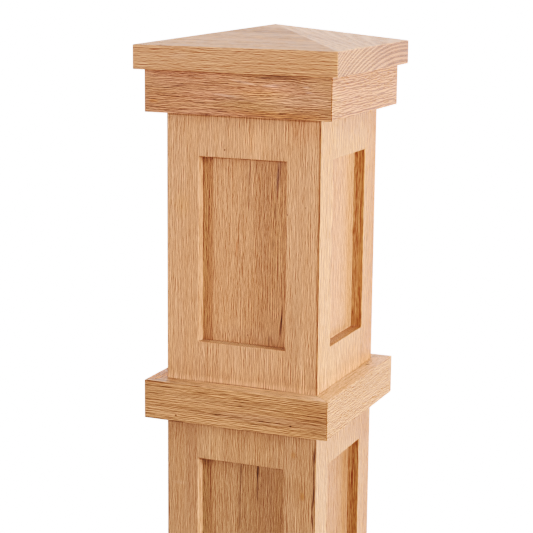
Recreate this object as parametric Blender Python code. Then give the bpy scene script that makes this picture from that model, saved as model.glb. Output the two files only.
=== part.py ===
"""A square box newel post in oak, with a low pyramid cap, recessed panels, a collar and a plinth.

Metres, +Z up, the origin at the middle of the underside. The front faces -Y.
"""

import math

import bmesh
import bpy
from mathutils import Matrix

# Driving sizes
POST_WIDTH = 0.15875
POST_HEIGHT = 1.420
WALL = 0.0190
RECESS_DEPTH = 0.0110
STILE = 0.0336
FRIEZE_PROJECTION = 0.0160
COLLAR_PROJECTION = 0.0171
CAP_WIDTH = 0.2072
CAP_EDGE = 0.0232
CAP_RISE = 0.0178
FRIEZE_HEIGHT = 0.0409
TOP_RAIL = 0.0416
UPPER_WINDOW = 0.1828
RAIL = 0.0403
COLLAR_HEIGHT = 0.0386
PLINTH_HEIGHT = 0.140
GAP = 0.0003

# Heights worked out from them, top to bottom
CAP_BOTTOM = POST_HEIGHT - CAP_RISE - CAP_EDGE
FRIEZE_BOTTOM = CAP_BOTTOM - FRIEZE_HEIGHT
UPPER_WINDOW_TOP = FRIEZE_BOTTOM - TOP_RAIL
UPPER_WINDOW_BOTTOM = UPPER_WINDOW_TOP - UPPER_WINDOW
COLLAR_TOP = UPPER_WINDOW_BOTTOM - RAIL
COLLAR_BOTTOM = COLLAR_TOP - COLLAR_HEIGHT
LOWER_WINDOW_TOP = COLLAR_BOTTOM - RAIL
LOWER_WINDOW_BOTTOM = PLINTH_HEIGHT + RAIL
SHAFT_TOP = CAP_BOTTOM - GAP

HALF_POST = POST_WIDTH / 2
HALF_WINDOW = HALF_POST - STILE
STRIP_BACK = HALF_POST + GAP
FRIEZE_FACE = HALF_POST + FRIEZE_PROJECTION
COLLAR_FACE = HALF_POST + COLLAR_PROJECTION
WINDOWS = (
    (LOWER_WINDOW_BOTTOM, LOWER_WINDOW_TOP),
    (UPPER_WINDOW_BOTTOM, UPPER_WINDOW_TOP),
)

# Each side is the front one turned about the post's axis
SIDES = {"front": 0.0, "right": 90.0, "back": 180.0, "left": 270.0}

# Colour, roughness and metallic value of each kind of board
WOODS = {
    "oak_cap": ((0.58, 0.36, 0.19), 0.55),
    "oak_frieze": ((0.52, 0.29, 0.13), 0.55),
    "oak_shaft": ((0.60, 0.38, 0.20), 0.60),
    "oak_panel": ((0.52, 0.30, 0.14), 0.60),
    "oak_collar": ((0.57, 0.34, 0.16), 0.58),
    "oak_plinth": ((0.57, 0.34, 0.17), 0.58),
}


def clear_scene():
    for obj in list(bpy.data.objects):
        bpy.data.objects.remove(obj, do_unlink=True)


def make_material(name):
    colour, roughness = WOODS[name]
    material = bpy.data.materials.new(name)
    material.use_nodes = True
    shader = material.node_tree.nodes["Principled BSDF"]
    shader.inputs["Base Color"].default_value = (*colour, 1.0)
    shader.inputs["Roughness"].default_value = roughness
    shader.inputs["Metallic"].default_value = 0.0
    return material


def make_object(name, mesh, material, turn_deg=0.0):
    mesh.materials.append(material)
    obj = bpy.data.objects.new(name, mesh)
    obj.rotation_euler = (0.0, 0.0, math.radians(turn_deg))
    bpy.context.scene.collection.objects.link(obj)
    return obj


def mesh_from(name, bm):
    bmesh.ops.recalc_face_normals(bm, faces=bm.faces)
    mesh = bpy.data.meshes.new(name)
    bm.to_mesh(mesh)
    bm.free()
    return mesh


def mitred_board(name, face, back, bottom, top, windows=()):
    """A front board from y = -face to y = -back, mitred at both ends.

    The mitres are set back so that a gap stays between neighbours. Each window is a pair of
    heights, and is as wide as the post less its stiles.
    """
    half = face - GAP / math.sqrt(2)
    xs = [-half, half]
    zs = [bottom, top]
    if windows:
        xs = [-half, -HALF_WINDOW, HALF_WINDOW, half]
        zs = sorted([bottom, top] + [z for window in windows for z in window])

    bm = bmesh.new()
    rows = [[bm.verts.new((x, -face, z)) for x in xs] for z in zs]
    for j in range(len(zs) - 1):
        for i in range(len(xs) - 1):
            is_window = i == 1 and (zs[j], zs[j + 1]) in windows
            if not is_window:
                bm.faces.new((rows[j][i], rows[j][i + 1], rows[j + 1][i + 1], rows[j + 1][i]))

    thickness = face - back
    extruded = bmesh.ops.extrude_face_region(bm, geom=bm.faces[:])
    behind = [item for item in extruded["geom"] if isinstance(item, bmesh.types.BMVert)]
    for vert in behind:
        vert.co.y += thickness
        if abs(vert.co.x) > half - GAP:
            vert.co.x -= math.copysign(thickness, vert.co.x)
    return mesh_from(name, bm)


def panel(name, bottom, top):
    """A plain board let into the front board's window, flush with that board's back."""
    width = 2 * (HALF_WINDOW - GAP)
    height = top - bottom - 2 * GAP
    thickness = WALL - RECESS_DEPTH
    centre = (0.0, -(HALF_POST - RECESS_DEPTH - thickness / 2), (top + bottom) / 2)

    bm = bmesh.new()
    size = Matrix.Diagonal((width, thickness, height, 1.0))
    bmesh.ops.create_cube(bm, size=1.0, matrix=Matrix.Translation(centre) @ size)
    return mesh_from(name, bm)


def cap(name):
    """A block whose top face is poked up into a low pyramid."""
    bm = bmesh.new()
    size = Matrix.Diagonal((CAP_WIDTH, CAP_WIDTH, CAP_EDGE, 1.0))
    place = Matrix.Translation((0.0, 0.0, CAP_BOTTOM + CAP_EDGE / 2))
    bmesh.ops.create_cube(bm, size=1.0, matrix=place @ size)
    bm.normal_update()
    top = max(bm.faces, key=lambda face: face.calc_center_median().z)
    poked = bmesh.ops.poke(bm, faces=[top])
    poked["verts"][0].co.z += CAP_RISE
    return mesh_from(name, bm)


def build_shaft(side, turn_deg, materials):
    board = mitred_board(f"shaft_{side}", HALF_POST, HALF_POST - WALL, 0.0, SHAFT_TOP, WINDOWS)
    make_object(f"shaft_{side}", board, materials["oak_shaft"], turn_deg)
    for place, (bottom, top) in zip(("lower", "upper"), WINDOWS):
        name = f"{place}_panel_{side}"
        make_object(name, panel(name, bottom, top), materials["oak_panel"], turn_deg)


def build_strips(side, turn_deg, materials):
    strips = {
        "frieze": (FRIEZE_FACE, FRIEZE_BOTTOM, SHAFT_TOP),
        "collar": (COLLAR_FACE, COLLAR_BOTTOM, COLLAR_TOP),
        "plinth": (COLLAR_FACE, 0.0, PLINTH_HEIGHT),
    }
    for kind, (face, bottom, top) in strips.items():
        name = f"{kind}_{side}"
        strip = mitred_board(name, face, STRIP_BACK, bottom, top)
        make_object(name, strip, materials[f"oak_{kind}"], turn_deg)


def main():
    clear_scene()
    materials = {name: make_material(name) for name in WOODS}
    make_object("cap", cap("cap"), materials["oak_cap"])
    for side, turn_deg in SIDES.items():
        build_shaft(side, turn_deg, materials)
        build_strips(side, turn_deg, materials)


main()
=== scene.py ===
"""A square oak box newel post on a plain white studio floor.

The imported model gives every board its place. The boards that show their arrises are shaped again
here with eased edges, and each board has its own cut of oak, with its own rings, pores and marks.

Metres, +Z up, the origin at the middle of the underside. The front faces -Y.
"""

import logging
import math
from dataclasses import dataclass, replace
from enum import Enum
from typing import Callable, Sequence, Union

import bmesh
import bpy
from bpy.types import Material, Node, NodeSocket, NodeTree, Object
from mathutils import Matrix, Vector


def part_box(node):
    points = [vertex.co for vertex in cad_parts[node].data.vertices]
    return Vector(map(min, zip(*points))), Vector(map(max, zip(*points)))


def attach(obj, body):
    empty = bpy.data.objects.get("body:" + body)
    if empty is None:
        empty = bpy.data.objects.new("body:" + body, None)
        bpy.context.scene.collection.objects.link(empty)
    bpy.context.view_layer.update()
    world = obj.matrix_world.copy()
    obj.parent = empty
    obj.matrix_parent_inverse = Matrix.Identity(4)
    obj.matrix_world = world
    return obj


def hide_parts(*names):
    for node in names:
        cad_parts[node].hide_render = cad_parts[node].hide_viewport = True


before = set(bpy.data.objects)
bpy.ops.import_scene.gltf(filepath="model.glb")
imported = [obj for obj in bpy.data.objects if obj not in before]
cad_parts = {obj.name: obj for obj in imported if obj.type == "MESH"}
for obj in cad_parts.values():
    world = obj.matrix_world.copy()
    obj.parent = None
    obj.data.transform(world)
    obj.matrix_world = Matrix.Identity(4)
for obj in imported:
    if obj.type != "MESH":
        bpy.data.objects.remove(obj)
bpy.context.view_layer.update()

log = logging.getLogger("newel_post")

Colour = tuple[float, float, float]
Value = Union[float, Sequence[float], "Signal"]
Inputs = dict[Union[int, str], Value]
Test = Callable[[Vector, Vector], bool]

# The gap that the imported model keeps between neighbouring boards
FIT_GAP = 0.0003
# The height of the cap's upright edge
CAP_EDGE = 0.0232
# How far the arrises of each kind of piece are rounded
CAP_EASING = 0.0008
STRIP_EASING = 0.0006
BOARD_EASING = 0.0005
# The two rows of windows and panels
LEVELS = ("lower", "upper")
RIGHTWARDS = Vector((1.0, 0.0, 0.0))
UPWARDS = Vector((0.0, 0.0, 1.0))
# The least part of a face's normal in one direction where it looks that way, slopes or leans
SQUARE_ON = 0.9
SLOPING = 0.5
LEANING = 0.05

# Attributes that a shaped piece carries on its faces
ARRIS = "arris"
END_GRAIN = "end_grain"
SEAM = "seam"
PLANED = "planed"
# What end grain, a rubbed arris with its painted highlight and a glued corner do to a board's
# colour
SAWN = (0.67, 0.60, 0.53)
RUBBED_AND_HIGHLIT = (1.10, 1.10, 1.10)
GLUED = (0.60, 0.56, 0.48)
# What the boards give back to each other, and how far it takes the place of their own colour
BOUNCE = (0.30, 0.30, 0.30)
BOUNCE_SHARE = 0.8

# How many cells each noise has in a metre, along, across and into the board
BENDS = (9.0, 24.0, 24.0)
RIPPLES = (48.0, 150.0, 150.0)
CHANGES = (5.0, 38.0, 38.0)
BLUSHES = (7.0, 60.0, 60.0)
SWAYS = (60.0, 8.0, 8.0)
RAGGED_ENDS = (90.0, 800.0, 800.0)
# Moves each board to its own part of the noise
APART = (1.31, 7.17, 3.73)
# How much the ripples add to the bends
RIPPLE_SHARE = 0.06
# The mean of a noise, and of one that has three parts
MEAN = 0.5
MEANS = (MEAN, MEAN, MEAN)
# Keeps only what runs across and into the board
ACROSS = (0.0, 1.0, 1.0)
WHITE = (1.0, 1.0, 1.0)
# When in the year spring wood ends, and when it starts again
SUMMER = (0.40, 0.72)
NEW_YEAR = (0.93, 1.0)
# How far the tree's middle moves along, across and back in a metre of board
LEAN = (0.0, 0.0, 0.012)
# How soon the years change in width, and by how many years that moves the rings
YEAR_CHANGE = 0.6
YEAR_SHIFT = 1.4
# Between which values of their noise pores and blushes appear
PORE_EDGE = (0.50, 0.66)
BLUSH_EDGE = (0.35, 0.70)
# How many of the pores are left in the summer wood
SUMMER_PORES = 0.3
# Each kind of fibre: how much shorter it is than the finish says, and its share
FIBRES = ((0.15, 1.3), (0.65, 1.3), (1.8, 0.7))
# How far apart the kinds lie in their noise, and a fibre and the one beside it, in widths
KINDS_APART = 31.0
BESIDE = (0.0, 1.2, 0.0)
# The amounts of spring wood and of pores that leave the tone as it is
USUAL_SPRING = 0.6
USUAL_PORES = 0.14
# The roughness of plain wood, and how much a pore and a fibre add to it
ROUGHNESS = 0.52
PORE_ROUGHNESS = 0.25
FIBRE_ROUGHNESS = 0.15
# The depth of a pore, and how high a fibre stands for it
PORE_DEPTH = 0.00012
FIBRE_HEIGHT = 0.5
# How far the tone may go from the body colour
TONE_LIMIT = 0.7
# Where a mark starts to fade, and where it is gone, as shares of its size, and how ragged it is
MARK_EDGE = (0.45, 1.25)
RAGGEDNESS = 0.5


class Side(Enum):
    """A side of the post, by how far it is turned from the front, in degrees."""

    FRONT = 0.0
    RIGHT = 90.0
    BACK = 180.0
    LEFT = 270.0

    @property
    def label(self) -> str:
        """The side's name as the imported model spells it."""
        return self.name.lower()

    @property
    def turn(self) -> Matrix:
        """The rotation that takes a front piece to this side."""
        return Matrix.Rotation(math.radians(self.value), 4, "Z")


class Grain(Enum):
    """Which way a board's grain runs. The rows are its length, its width and its depth."""

    UPRIGHT = ((0.0, 0.0, 1.0), (1.0, 0.0, 0.0), (0.0, 1.0, 0.0))
    LEVEL = ((1.0, 0.0, 0.0), (0.0, 0.0, 1.0), (0.0, -1.0, 0.0))


class Element(Enum):
    """What a choice in edit mode is made of."""

    FACE = "FACE"
    EDGE = "EDGE"


# Materials


@dataclass(frozen=True)
class Signal:
    """What a node gives. Each sum with it adds a node to its graph.

    Args:
        graph: The graph that the node is in.
        socket: The node's output.
    """

    graph: "Graph"
    socket: NodeSocket

    def work_out(self, operation: str, *values: Value) -> "Signal":
        """Works out a sum of numbers, or of vectors where this is one, and returns it."""
        kind = "ShaderNodeVectorMath" if is_vector(self) else "ShaderNodeMath"
        return self.graph.signal(kind, dict(enumerate(values)), operation=operation)

    def __add__(self, other: Value) -> "Signal":
        """Adds, and returns the sum."""
        return self.work_out("ADD", self, other)

    def __sub__(self, other: Value) -> "Signal":
        """Subtracts, and returns the difference."""
        return self.work_out("SUBTRACT", self, other)

    def __rsub__(self, other: float) -> "Signal":
        """Subtracts from a number, and returns the difference."""
        return self.work_out("SUBTRACT", other, self)

    def __truediv__(self, other: Value) -> "Signal":
        """Divides, and returns the quotient."""
        return self.work_out("DIVIDE", self, other)

    def __mul__(self, other: Value) -> "Signal":
        """Multiplies two numbers or two vectors, or scales a vector by a number.

        Args:
            other: The other factor.

        Returns:
            The product.
        """
        if is_vector(self) == is_vector(other):
            return self.work_out("MULTIPLY", self, other)
        vector, number = (self, other) if is_vector(self) else (other, self)
        inputs = {0: vector, "Scale": number}
        return self.graph.signal("ShaderNodeVectorMath", inputs, operation="SCALE")

    def at_least(self, low: Value) -> "Signal":
        """Returns the larger of this and another number."""
        return self.work_out("MAXIMUM", self, low)

    def at_most(self, high: Value) -> "Signal":
        """Returns the smaller of this and another number."""
        return self.work_out("MINIMUM", self, high)

    def fraction(self) -> "Signal":
        """Returns what is left over after the whole number."""
        return self.work_out("FRACT", self)

    def length(self) -> "Signal":
        """Returns a vector's length."""
        return self.graph.signal("ShaderNodeVectorMath", {0: self}, "Value", operation="LENGTH")

    def parts(self) -> list["Signal"]:
        """Returns a vector's three numbers."""
        outputs = self.graph.node("ShaderNodeSeparateXYZ", {0: self}).outputs
        return [Signal(self.graph, output) for output in outputs]

    def step(self, low: float, high: float) -> "Signal":
        """Rises smoothly from 0 at low to 1 at high, and returns that."""
        inputs = {"Value": self, "From Min": low, "From Max": high}
        return self.graph.signal("ShaderNodeMapRange", inputs, interpolation_type="SMOOTHSTEP")

    def noise(self, detail: float, output: str = "Fac") -> "Signal":
        """Reads noise that has one cell for each unit of this place, and returns it."""
        inputs = {"Vector": self, "Scale": 1.0, "Detail": detail}
        return self.graph.signal("ShaderNodeTexNoise", inputs, output)


def is_vector(value: Value) -> bool:
    """Says whether a value has three parts, as a place or a colour has."""
    kind = value.socket.type if isinstance(value, Signal) else type(value).__name__
    return kind not in ("VALUE", "float", "int")


class Graph:
    """Adds nodes to a tree and joins them."""

    def __init__(self, tree: NodeTree) -> None:
        """Empties a tree of nodes and starts on it."""
        self.tree = tree
        tree.nodes.clear()

    def node(self, kind: str, inputs: Inputs, **settings: object) -> Node:
        """Adds a node.

        Args:
            kind: The node's type name.
            inputs: What is joined to its inputs or set on them, by name or number.
            **settings: The node's own settings.

        Returns:
            The new node.
        """
        made = self.tree.nodes.new(kind)
        for name, setting in settings.items():
            setattr(made, name, setting)
        for key, value in inputs.items():
            if isinstance(value, Signal):
                self.tree.links.new(value.socket, made.inputs[key])
            else:
                made.inputs[key].default_value = value
        return made

    def signal(
        self, kind: str, inputs: Inputs, output: Union[int, str] = 0, **settings: object
    ) -> Signal:
        """Adds a node, and returns one of its outputs."""
        return Signal(self, self.node(kind, inputs, **settings).outputs[output])

    def given(self) -> dict[str, Signal]:
        """Returns what a group is given, by name."""
        outputs = self.node("NodeGroupInput", {}).outputs
        return {output.name: Signal(self, output) for output in outputs}

    def joined(self, x: Value, y: Value, z: Value) -> Signal:
        """Makes a vector of three numbers, and returns it."""
        return self.signal("ShaderNodeCombineXYZ", {0: x, 1: y, 2: z})

    def mix(self, amount: Value, a: Value, b: Value, blend: str = "MIX") -> Signal:
        """Mixes two colours, and returns the result."""
        inputs = {0: amount, 6: a, 7: b}
        return self.signal("ShaderNodeMix", inputs, 2, data_type="RGBA", blend_type=blend)

    def tinted(self, amount: Value, colour: Value, stain_or_painted_light: Colour) -> Signal:
        """Multiplies a colour by a stain or by painted light or shade, as far as the amount says,
        and returns it.
        """
        return self.mix(amount, colour, (*stain_or_painted_light, 1.0), blend="MULTIPLY")


def new_group(
    name: str, inputs: dict[str, Sequence[str]], outputs: dict[str, Sequence[str]]
) -> NodeTree:
    """Makes an empty shader group with its sockets.

    Args:
        name: The group's name.
        inputs: The names of its inputs, by their kind.
        outputs: The names of its outputs, by their kind.

    Returns:
        The group.
    """
    group = bpy.data.node_groups.new(name, "ShaderNodeTree")
    for in_out, kinds in (("INPUT", inputs), ("OUTPUT", outputs)):
        for kind, labels in kinds.items():
            for label in labels:
                group.interface.new_socket(label, in_out=in_out, socket_type=f"NodeSocket{kind}")
    return group


def oak_group() -> NodeTree:
    """Builds the effect that cuts a board out of a ringed oak trunk.

    Returns:
        A group that turns a place in the board into its colour, roughness and height.
    """
    numbers = ["Seed", "Ring Width", "Crowding", "Waviness", "Figure", "End", "End Figure"]
    numbers += ["Pores", "Fibre", "Drift"]
    vectors = ["Board", "Pith", "Lean", "Pore Size", "Fibre Size", "Hues"]
    group = new_group(
        "Oak cut",
        {"Float": numbers, "Vector": vectors, "Color": ["Body", "Flush"]},
        {"Color": ["Color"], "Float": ["Roughness", "Height"]},
    )
    graph = Graph(group)
    given = graph.given()

    # The board bends gently about its straight grain
    away = given["Seed"] * APART
    place = given["Board"] + away
    ripple = (place * RIPPLES).noise(1.0, "Color") - MEANS
    bend = (place * BENDS).noise(2.0, "Color") - MEANS + ripple * RIPPLE_SHARE
    bent = given["Board"] + bend * ACROSS * given["Waviness"]

    # Growth rings stand round the pith, which leans as it rises
    pith = given["Pith"] + given["Lean"] * bent.parts()[0]
    inward = ((bent - pith) * ACROSS).length() - given["Pith"].length()
    count = inward / given["Ring Width"] + inward * inward * given["Crowding"]
    years = graph.joined(count * YEAR_CHANGE, given["Seed"], 0.0).noise(2.0)
    season = (count + years * YEAR_SHIFT).fraction()
    spring = (1.0 - season.step(*SUMMER)).at_least(season.step(*NEW_YEAR))

    # Pores are long and thin, and crowd into the spring wood
    bent_place = bent + away
    crowded = spring * (1.0 - SUMMER_PORES) + SUMMER_PORES
    pore = (bent_place / given["Pore Size"]).noise(1.0).step(*PORE_EDGE) * crowded

    # Fibres of three lengths lie side by side, a pale one next to a dark one
    strand = bent_place / given["Fibre Size"]
    fibre = 0.0
    for row, (shorter, share) in enumerate(FIBRES):
        thread = strand * (shorter, 1.0, 1.0) + (0.0, KINDS_APART * row, 0.0)
        fibre = (thread.noise(1.0) - (thread + BESIDE).noise(1.0)) * share + fibre

    # One tone, about 0, that darkens or brightens the body colour
    drift = (place * CHANGES).noise(1.0) - MEAN
    figure = given["End"] * given["End Figure"] + given["Figure"]
    tone = drift * given["Drift"] + fibre * given["Fibre"]
    tone = tone + (USUAL_SPRING - spring) * figure + (USUAL_PORES - pore) * given["Pores"]
    tone = tone.at_least(-TONE_LIMIT).at_most(TONE_LIMIT)
    blush = (place * BLUSHES).noise(1.0).step(*BLUSH_EDGE)
    colour = graph.mix(blush, given["Body"], given["Flush"]) * (given["Hues"] * tone + WHITE)

    outputs = {
        "Color": colour,
        "Roughness": pore * PORE_ROUGHNESS + ROUGHNESS + fibre * FIBRE_ROUGHNESS,
        "Height": fibre * FIBRE_HEIGHT - pore,
    }
    graph.node("NodeGroupOutput", outputs)
    return group


def streak_group() -> NodeTree:
    """Builds the effect of one long mark that follows the grain, for a streak or for a patch of
    painted light or shade.

    Returns:
        A group that gives a mask, 1 in the middle of the mark.
    """
    inputs = {"Vector": ["Board", "Centre", "Size"], "Float": ["Slope", "Wander"]}
    group = new_group("Streak or painted light mask", inputs, {"Float": ["Mask"]})
    graph = Graph(group)
    given = graph.given()
    from_centre = given["Board"] - given["Centre"]
    sway = ((given["Board"] * SWAYS).noise(2.0) - MEAN) * given["Wander"]
    sway = sway - from_centre.parts()[0] * given["Slope"]
    reach = ((from_centre + graph.joined(0.0, sway, 0.0)) / given["Size"]).length()
    ragged = (given["Board"] * RAGGED_ENDS).noise(2.0)
    mask = 1.0 - (reach + ragged * RAGGEDNESS).step(*MARK_EDGE)
    graph.node("NodeGroupOutput", {"Mask": mask})
    return group


@dataclass(frozen=True)
class Mark:
    """A streak, split, pin hole or smudge in one board, or a patch of painted light or shade on it.

    Args:
        along: Where its middle lies along the grain.
        across: Where its middle lies across the grain.
        length: Half its length.
        width: Half its width.
        stain_or_painted_light: What it does to the board's colour, as a factor.
        strength: How much of its stain shows, 0 to 1.
        slope: How far it runs across the grain for each metre along it.
        wander: How far it sways across the grain.
        depth: Where its middle lies in the board's depth, from the face.
        reach: Half of how deep it goes.
    """

    along: float
    across: float
    length: float
    width: float
    stain_or_painted_light: Colour
    strength: float = 0.9
    slope: float = 0.0
    wander: float = 0.0
    depth: float = 0.0
    reach: float = 1.0


@dataclass(frozen=True)
class OakFinish:
    """One board's cut of oak.

    Args:
        name: The material's name.
        seed: Moves the board to its own part of the tree.
        pith: How far the tree's middle lies across and behind the board's face.
        ring_width: The width of a year's growth.
        crowding: How much narrower the rings get outwards.
        waviness: How far the grain wanders.
        figure: How dark the spring wood is.
        end_figure: How much darker it is on sawn end grain.
        pores: How dark the pores are.
        pore_size: A pore's length and width.
        fibre: How strong the fine streaks are.
        fibre_size: A streak's length, width and depth.
        drift: How strong the broad change of tone is.
        body: The usual colour of the wood.
        flush: Its pinker or more golden parts, as a factor on the body.
        hues: How far a change of tone goes in each channel.
        planed: The colour of its planed edge faces, as a factor on the colour, which also paints
            light and shade on its tops and window sides.
        planed_fibre: How strong the fine streaks are on those faces, as a factor.
        marks: The board's own marks.
        sheen: How much the surface reflects.
    """

    name: str = "Oak"
    seed: float = 0.0
    pith: tuple[float, float] = (0.01, 0.11)
    ring_width: float = 0.0032
    crowding: float = 0.0
    waviness: float = 0.0022
    figure: float = 0.08
    end_figure: float = 0.55
    pores: float = 0.10
    pore_size: tuple[float, float] = (0.010, 0.0007)
    fibre: float = 2.8
    fibre_size: tuple[float, float, float] = (0.009, 0.0004, 0.0004)
    drift: float = 0.25
    body: Colour = (0.60, 0.288, 0.160)
    flush: Colour = (1.0, 0.98, 0.95)
    hues: Colour = (0.90, 1.03, 1.15)
    planed: Colour = (1.08, 1.08, 1.08)
    planed_fibre: float = 0.55
    marks: tuple[Mark, ...] = ()
    sheen: float = 0.5

    def inputs(self) -> Inputs:
        """Lists what goes into the oak group the same all over the board.

        Returns:
            The values, by the group's names for them.
        """
        length, width = self.pore_size
        flush = (part * share for part, share in zip(self.body, self.flush))
        values = {
            "Pith": (0.0, *self.pith),
            "Lean": LEAN,
            "Pore Size": (length, width, width),
            "Body": (*self.body, 1.0),
            "Flush": (*flush, 1.0),
        }
        plain = ["seed", "ring_width", "crowding", "waviness", "figure", "end_figure", "pores"]
        plain += ["fibre_size", "drift", "hues"]
        for name in plain:
            values[name.replace("_", " ").title()] = getattr(self, name)
        return values


class Workshop:
    """Makes the materials, with the groups that they share."""

    def __init__(self) -> None:
        """Builds the shared groups once."""
        self.oak = oak_group()
        self.streak = streak_group()

    def board_place(self, graph: Graph, side: Side, grain: Grain, centre: Vector) -> Signal:
        """Turns object coordinates into a board's length, width and depth.

        Args:
            graph: The material's graph.
            side: The side the board is on.
            grain: Which way its grain runs.
            centre: The middle of the board's face, as it would be on the front.

        Returns:
            The place in the board, from the middle of its face.
        """
        rows = Matrix(grain.value)
        turn = (rows @ side.turn.to_3x3().inverted()).to_euler("XYZ")
        coordinates = graph.signal("ShaderNodeTexCoord", {}, "Object")
        mapping = {"Vector": coordinates, "Location": -(rows @ centre), "Rotation": turn}
        return graph.signal("ShaderNodeMapping", mapping, vector_type="POINT")

    def material(self, finish: OakFinish, side: Side, grain: Grain, centre: Vector) -> Material:
        """Makes a board's material.

        Args:
            finish: The board's cut of oak.
            side: The side the board is on.
            grain: Which way its grain runs.
            centre: The middle of the board's face, as it would be on the front.

        Returns:
            The material.
        """
        made = bpy.data.materials.new(finish.name)
        made.use_nodes = True
        graph = Graph(made.node_tree)
        place = self.board_place(graph, side, grain, centre)
        stains_and_painted_light = {END_GRAIN: SAWN, ARRIS: RUBBED_AND_HIGHLIT, SEAM: GLUED, PLANED: finish.planed}
        faces = {
            name: graph.signal("ShaderNodeAttribute", {}, "Fac", attribute_name=name)
            for name in stains_and_painted_light
        }
        quieter = (1.0 - finish.planed_fibre) * finish.fibre
        inputs = finish.inputs()
        inputs["Board"] = place
        inputs["End"] = faces[END_GRAIN]
        inputs["Fibre"] = finish.fibre - faces[PLANED] * quieter
        cut = graph.node("ShaderNodeGroup", inputs, node_tree=self.oak)
        colour, roughness, height = (Signal(graph, output) for output in cut.outputs)
        for mark in finish.marks:
            colour = self.with_mark(graph, place, mark, colour)

        # Sawn end grain and a glued corner are darker, an eased arris is rubbed paler with a
        # painted highlight, and the planed faces take painted light and shade
        for name, stain_or_painted_light in stains_and_painted_light.items():
            colour = graph.tinted(faces[name], colour, stain_or_painted_light)

        # Light that bounces from board to board stays nearly white in the recesses
        bounced = graph.signal("ShaderNodeLightPath", {}, "Is Diffuse Ray")
        colour = graph.mix(bounced * BOUNCE_SHARE, colour, (*BOUNCE, 1.0))

        look = {
            "Base Color": colour,
            "Roughness": roughness,
            "Specular IOR Level": finish.sheen,
            "Normal": graph.signal("ShaderNodeBump", {"Height": height, "Distance": PORE_DEPTH}),
        }
        shader = graph.signal("ShaderNodeBsdfPrincipled", look)
        graph.node("ShaderNodeOutputMaterial", {"Surface": shader})
        return made

    def with_mark(self, graph: Graph, place: Signal, mark: Mark, colour: Signal) -> Signal:
        """Lays one mark over a board's colour.

        Args:
            graph: The material's graph.
            place: The place in the board.
            mark: The mark.
            colour: The colour so far.

        Returns:
            The colour with the mark.
        """
        inputs = {
            "Board": place,
            "Centre": (mark.along, mark.across, mark.depth),
            "Size": (mark.length, mark.width, mark.reach),
            "Slope": mark.slope,
            "Wander": mark.wander,
        }
        mask = graph.signal("ShaderNodeGroup", inputs, node_tree=self.streak)
        return graph.tinted(mask * mark.strength, colour, mark.stain_or_painted_light)


# Shaping


class Bench:
    """A block that is shaped in edit mode into one piece."""

    def __init__(self, name: str, low: Vector, high: Vector) -> None:
        """Puts a block on the bench.

        Args:
            name: The piece's name.
            low: The block's lowest corner.
            high: The block's highest corner.
        """
        bpy.ops.object.select_all(action="DESELECT")
        bpy.ops.mesh.primitive_cube_add(size=1.0, location=(low + high) / 2)
        self.piece: Object = bpy.context.active_object
        self.piece.name = name
        self.piece.data.name = name
        self.piece.scale = high - low
        bpy.ops.object.transform_apply(location=True, rotation=True, scale=True)
        bpy.ops.object.mode_set(mode="EDIT")
        shape = bmesh.from_edit_mesh(self.piece.data)
        for attribute in (ARRIS, END_GRAIN, SEAM, PLANED):
            shape.faces.layers.float.new(attribute)
        bmesh.update_edit_mesh(self.piece.data)

    def choose(self, element: Element, test: Test) -> "Bench":
        """Selects the faces or edges that pass a test, and nothing else.

        Args:
            element: Faces or edges.
            test: Takes the middle of each and its direction, a face's normal or an edge's line.

        Returns:
            The bench, for what is done to them.
        """
        bpy.ops.mesh.select_mode(type=element.value)
        bpy.ops.mesh.select_all(action="DESELECT")
        shape = bmesh.from_edit_mesh(self.piece.data)
        if element is Element.FACE:
            for face in shape.faces:
                face.select_set(test(face.calc_center_median(), face.normal))
        else:
            for edge in shape.edges:
                start, end = (vert.co for vert in edge.verts)
                if test((start + end) / 2, (end - start).normalized()):
                    edge.select_set(True)
        bmesh.update_edit_mesh(self.piece.data)
        return self

    def mark(self, attribute: str, narrower: float = math.inf) -> None:
        """Gives the selected faces 1 in an attribute.

        Args:
            attribute: The attribute.
            narrower: Leaves out a face with no side shorter than this.
        """
        shape = bmesh.from_edit_mesh(self.piece.data)
        layer = shape.faces.layers.float[attribute]
        for face in shape.faces:
            if face.select and min(edge.calc_length() for edge in face.edges) < narrower:
                face[layer] = 1.0
        bmesh.update_edit_mesh(self.piece.data)

    def cut(self, direction: Vector, reach: float) -> None:
        """Cuts the whole piece square to a direction, that far out, and keeps both parts."""
        bpy.ops.mesh.select_all(action="SELECT")
        bpy.ops.mesh.bisect(plane_co=direction * reach, plane_no=direction)

    def narrow_back(self, low: Vector, high: Vector) -> None:
        """Narrows a front board's back, so that both of its ends are mitres.

        Args:
            low: The board's lowest corner.
            high: The board's highest corner.
        """
        narrower = (high.x - (high.y - low.y)) / high.x
        self.choose(Element.FACE, lambda middle, normal: normal.y > SQUARE_ON)
        bpy.ops.transform.resize(value=(narrower, 1.0, 1.0), center_override=(0.0, 0.0, 0.0))

    def ease(self, width: float) -> None:
        """Rounds the selected edges over, and marks them as arrises.

        Args:
            width: How far the rounding reaches from each edge.
        """
        bpy.ops.mesh.bevel(offset=width, segments=3, profile=0.5, affect="EDGES")
        bpy.ops.mesh.select_mode(type="FACE")
        self.mark(ARRIS, narrower=width)

    def done(self) -> Object:
        """Takes the piece off the bench.

        Returns:
            The piece.
        """
        bpy.ops.mesh.select_all(action="SELECT")
        bpy.ops.mesh.normals_make_consistent(inside=False)
        bpy.ops.object.mode_set(mode="OBJECT")
        return self.piece


def near(a: float, b: float, slack: float = 0.0002) -> bool:
    """Says whether two lengths agree."""
    return abs(a - b) < slack


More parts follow.
